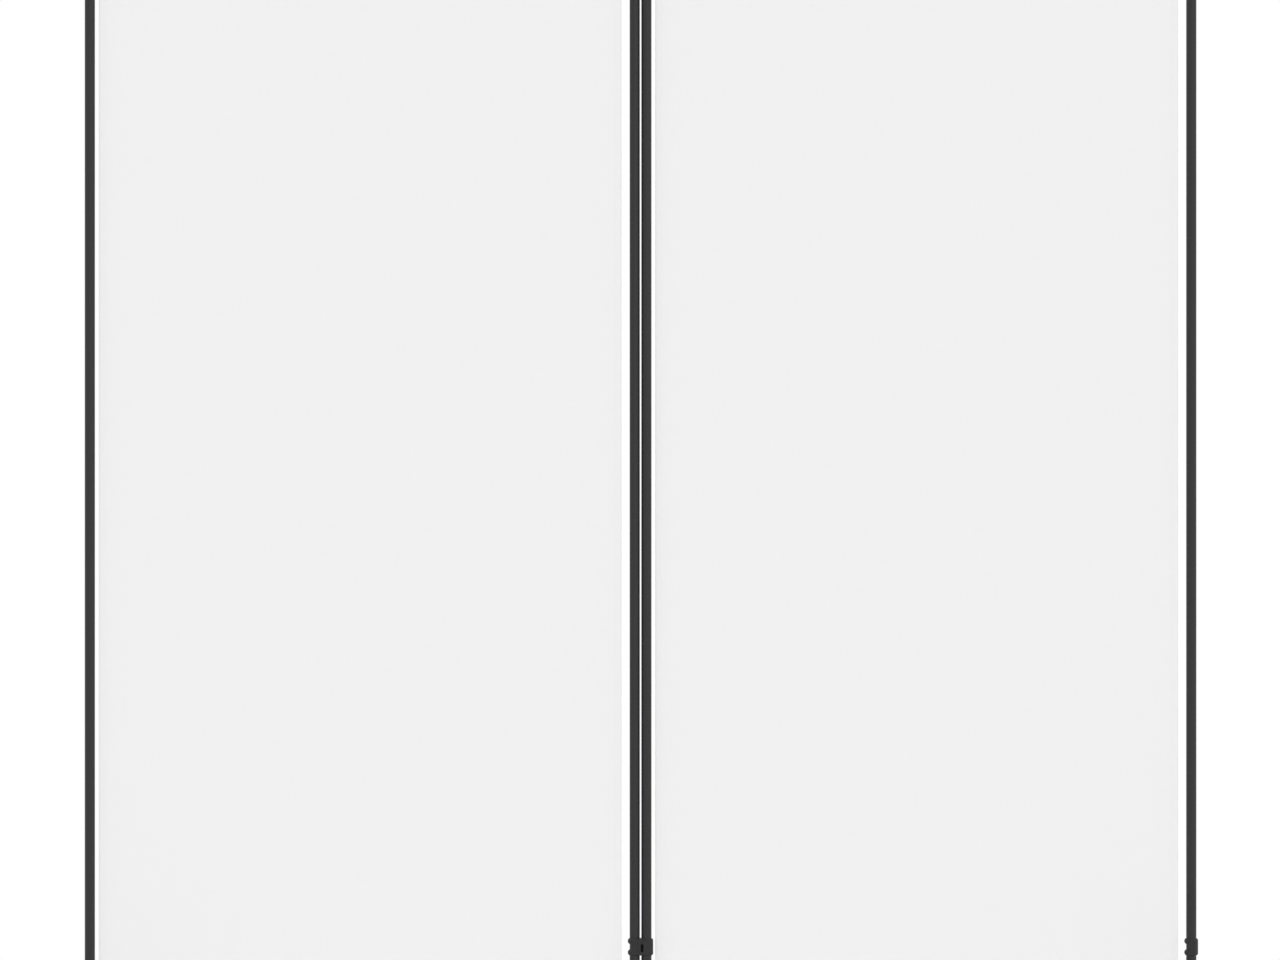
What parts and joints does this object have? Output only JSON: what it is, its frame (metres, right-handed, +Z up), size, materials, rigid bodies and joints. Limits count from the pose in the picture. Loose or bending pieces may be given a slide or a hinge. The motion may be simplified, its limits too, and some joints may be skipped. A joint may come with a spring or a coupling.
{
  "type": "room divider",
  "caption": "Free-standing folding screen: cloth panels stretched in slim steel frames, joined by moulded swivel clips, on crosswise feet.",
  "frame": {"origin": "on the floor, midway between the two inner posts, in the plane of the panels", "axes": "+X along the screen, +Y to its back, +Z up; both panels stand in one line"},
  "size_m": [1.7544, 0.5, 1.8],
  "materials": {
    "frame_steel": "dark grey powder coat, fine satin texture",
    "frame_plastic": "dark grey moulded plastic, matte",
    "clip_plastic": "dark grey moulded plastic, matte",
    "screw_steel": "black oxide steel",
    "cloth": "off-white plain-weave polyester, stretched flat"
  },
  "bodies": {
    "left_panel": {"left_outer_post": "frame_steel", "left_inner_post": "frame_steel", "left_inner_post_tip": "frame_plastic", "left_post_caps": "frame_plastic", "left_bottom_rail": "frame_steel", "left_top_rail": "frame_steel", "left_rail_stubs": "frame_steel", "left_rail_screws": "screw_steel", "left_cloth": "cloth", "left_foot_lock_nut": "frame_steel", "left_foot_lock_screw": "screw_steel"},
    "left_foot": {"left_foot_tube": "frame_steel", "left_foot_spigot": "frame_steel", "left_foot_end_caps": "frame_plastic"},
    "right_panel": {"right_outer_post": "frame_steel", "right_inner_post": "frame_steel", "right_inner_post_tip": "frame_plastic", "right_post_caps": "frame_plastic", "right_bottom_rail": "frame_steel", "right_top_rail": "frame_steel", "right_rail_stubs": "frame_steel", "right_rail_screws": "screw_steel", "right_cloth": "cloth", "right_foot_lock_nut": "frame_steel", "right_foot_lock_screw": "screw_steel", "end_clip_lower": "clip_plastic", "end_clip_upper": "clip_plastic"},
    "right_foot": {"right_foot_tube": "frame_steel", "right_foot_spigot": "frame_steel", "right_foot_end_caps": "frame_plastic"},
    "hinge_clips": {"hinge_clip_lower": "clip_plastic", "hinge_clip_upper": "clip_plastic"}
  },
  "joints": [
    {"name": "clip_swing", "type": "hinge", "parent": "left_panel", "child": "hinge_clips", "pos_m": [-0.0092, 0, 0], "axis": [0, 0, 1], "range_deg": [-90, 90]},
    {"name": "panel_fold", "type": "hinge", "parent": "hinge_clips", "child": "right_panel", "pos_m": [0.0092, 0, 0], "axis": [0, 0, 1], "range_deg": [-90, 90]},
    {"name": "left_foot_turn", "type": "hinge", "parent": "left_panel", "child": "left_foot", "pos_m": [-0.8662, 0, 0], "axis": [0, 0, 1], "range_deg": [-90, 90]},
    {"name": "right_foot_turn", "type": "hinge", "parent": "right_panel", "child": "right_foot", "pos_m": [0.8662, 0, 0], "axis": [0, 0, 1], "range_deg": [-90, 90]}
  ]
}
